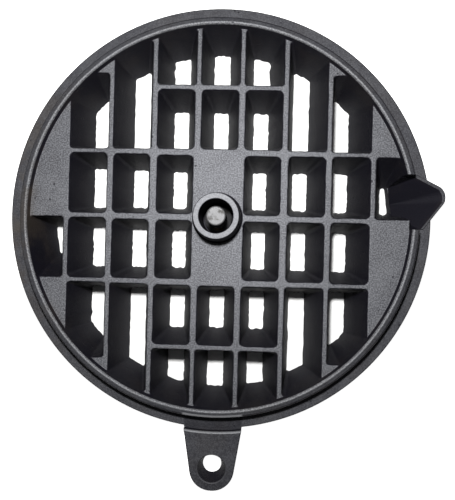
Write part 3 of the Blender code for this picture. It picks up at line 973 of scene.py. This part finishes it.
    def build(self) -> bpy.types.Object:
        """Model the casting and ride it on the cover's body.

        Returns:
            The casting's visible skin.
        """
        casting = self.blank()
        nose, hollow = self.nose()
        for tool in (self.ear(), nose, self.boss()):
            Bench.combine(casting, tool, "UNION")
        for tool in (self.cells(), hollow, self.eye(), self.bore()):
            Bench.combine(casting, tool, "DIFFERENCE")
        Bench.shaded(casting)
        casting.data.materials.clear()
        casting.data.materials.append(CastIron().material())
        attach(casting, Body.COVER.value)
        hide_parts("cover_casting")
        log.info("casting: %d faces", len(casting.data.polygons))
        return casting


# ---- the bolt set ----------------------------------------------------------------------------
@dataclass
class BoltSet:
    """The lock bolt and the pieces that seal, guide and keep it."""

    steel: Metal = Metal("bolt_steel_skin", (0.112, 0.112, 0.115), (0.060, 0.058, 0.054), 0.48, 0.60)
    washer: Metal = Metal("washer_steel_skin", (0.46, 0.46, 0.47), (0.15, 0.13, 0.11), 0.42)
    # The bush's bronze colours are painted far darker than bronze: painted shade for the bush deep in
    # the bore.
    bronze: Metal = Metal("bush_bronze_skin", (0.060, 0.038, 0.022), (0.020, 0.014, 0.010), 0.60, 0.50)
    # The clip is painted near black with little metal sheen: painted shade for the clip deep in the
    # bore.
    spring: Metal = Metal("clip_steel_skin", (0.006, 0.006, 0.007), (0.005, 0.004, 0.003), 0.75, 0.10)
    shank_r: float = 0.0130
    groove_r: float = 0.0115
    groove_low: float = 0.0524
    groove_high: float = 0.0560
    head_flats: float = 0.0410
    head_low: float = 0.0001
    head_high: float = 0.0149

    def bolt(self) -> bpy.types.Object:
        """Model the lock bolt: chamfered hexagon head, grooved shank and a rough cut end."""
        low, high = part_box("lock_bolt")
        top = high[2]
        profile: list[Point] = [(0.0, top - 0.0002), (0.0040, top - 0.0001), (0.0085, top)]
        shank_r, groove_r, edge = self.shank_r, self.groove_r, 0.0022
        profile += arc((shank_r - edge, top - edge), edge, 88.0, 6.0, 5)
        profile += [(shank_r, top - 0.0042), (shank_r, self.groove_high),
                    (groove_r, self.groove_high - 0.0004), (groove_r, self.groove_low + 0.0003),
                    (shank_r, self.groove_low), (shank_r, 0.0152), (0.0136, 0.0143),
                    (0.0136, 0.010), (0.0, 0.010)]
        shank = Bench.turned("lock_bolt_skin", profile, 64)
        across_corners = self.head_flats / cos(pi / 6.0)
        bpy.ops.mesh.primitive_cylinder_add(
            vertices=6, radius=across_corners / 2.0, depth=self.head_high - self.head_low,
            location=(0.0, 0.0, (self.head_high + self.head_low) / 2.0))
        head = Bench.added("bolt_head")
        Bench.take(head)
        bpy.ops.object.transform_apply()
        top_r, side_r = 0.0226, 0.0240
        cone: list[Point] = [(0.0, self.head_high), (top_r, self.head_high),
                             (side_r, self.head_high - 0.0011), (side_r, self.head_low + 0.0012),
                             (top_r, self.head_low), (0.0, self.head_low)]
        Bench.combine(head, Bench.turned("head_chamfer", cone, 96), "INTERSECT")
        Bench.combine(shank, head, "UNION")
        Bench.shaded(shank)
        shank.data.materials.clear()
        shank.data.materials.append(self.steel.material())
        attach(shank, Body.BOLT.value)
        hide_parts("lock_bolt")
        log.info("bolt: %d faces, %.1f mm tall", len(shank.data.polygons),
                 1000.0 * (high[2] - low[2]))
        return shank

    def dress(self) -> None:
        """Give the carried-over pieces their finishes."""
        finishes: dict[str, Callable[[], bpy.types.Material]] = {
            "bolt_washer": self.washer.material, "bolt_bush": self.bronze.material,
            "bolt_clip": self.spring.material, "bolt_seal": Rubber().material}
        for node, make in finishes.items():
            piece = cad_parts[node]
            piece.data.materials.clear()
            piece.data.materials.append(make())
            log.info("%s: new finish", node)


# ---- the studio ------------------------------------------------------------------------------
@dataclass
class Studio:
    """A pale floor, soft light from over the +Y side and a camera square above the cover."""

    eye: tuple[float, float, float] = (0.03702, -0.04307, 0.72818)
    tilt: tuple[float, float, float] = (-0.079, 1.916, 1.466)
    lens: float = 33.74
    floor_size: float = 12.0
    glow_from: float = 0.285
    key_place: tuple[float, float, float] = (0.0, 0.108, 0.71)
    key_size: float = 0.06
    key_watts: float = 9.0
    fill: float = 0.05

    def floor(self) -> None:
        """Lay the floor under the cover; outside the cover's footprint it glows white, a painted light
        that hides the cover's cast shadow there.
        """
        bpy.ops.object.select_all(action="DESELECT")
        bpy.ops.mesh.primitive_plane_add(size=self.floor_size, location=(0.0, 0.0, -0.0006))
        floor = Bench.added("studio_floor")
        tree = Tree("studio_floor_white")
        at = tree.place()
        x, y, _ = tree.parts(at)
        # Painted light: the floor glows white outside the cover's footprint, hiding the cover's
        # shadow; inside it, the floor only takes light.
        outside = ((x * x + y * y) ** 0.5).ramp(self.glow_from, self.glow_from + 0.01)
        glow = outside.mix((0.0, 0.0, 0.0), (1.0, 1.0, 1.0))
        tree.finish(Base_Color=(0.90, 0.90, 0.89), Roughness=0.9, Emission_Color=glow,
                    Emission_Strength=1.0)
        floor.data.materials.append(tree.material)

    def key(self) -> None:
        """Hang the round soft key light, turned to face the cover."""
        lamp = bpy.data.lights.new("key", "AREA")
        lamp.shape = "DISK"
        lamp.size = self.key_size
        lamp.energy = self.key_watts
        holder = bpy.data.objects.new("key", lamp)
        bpy.context.scene.collection.objects.link(holder)
        holder.location = self.key_place
        holder.visible_camera = False
        aim = Vector((0.0, self.key_place[1] / 2.0, 0.0)) - Vector(self.key_place)
        holder.rotation_euler = aim.to_track_quat("-Z", "Y").to_euler()

    def world(self) -> None:
        """Fill the room with even grey light."""
        world = bpy.data.worlds.new("studio")
        world.use_nodes = True
        backdrop = world.node_tree.nodes["Background"].inputs
        backdrop["Color"].default_value = (1.0, 1.0, 1.0, 1.0)
        backdrop["Strength"].default_value = self.fill
        bpy.context.scene.world = world

    def camera(self) -> None:
        """Place the camera over the middle of the whole object, looking almost straight down."""
        lens = bpy.data.cameras.new("camera")
        lens.lens = self.lens
        lens.sensor_width = 36.0
        lens.clip_start = 0.01
        eye = bpy.data.objects.new("camera", lens)
        bpy.context.scene.collection.objects.link(eye)
        eye.location = self.eye
        eye.rotation_euler = tuple(radians(turn) for turn in self.tilt)
        bpy.context.scene.camera = eye

    def build(self) -> None:
        """Set up the floor, the lights, the fill and the camera."""
        self.floor()
        self.key()
        self.world()
        self.camera()
        bpy.context.scene.view_settings.view_transform = "Standard"
        log.info("studio: floor, key light, even fill and camera")


def main() -> None:
    """Build the cover's looks."""
    logging.basicConfig(level=logging.INFO, format="%(name)s: %(message)s")
    CoverCasting().build()
    bolts = BoltSet()
    bolts.bolt()
    bolts.dress()
    Studio().build()


if __name__ == "__main__":
    main()
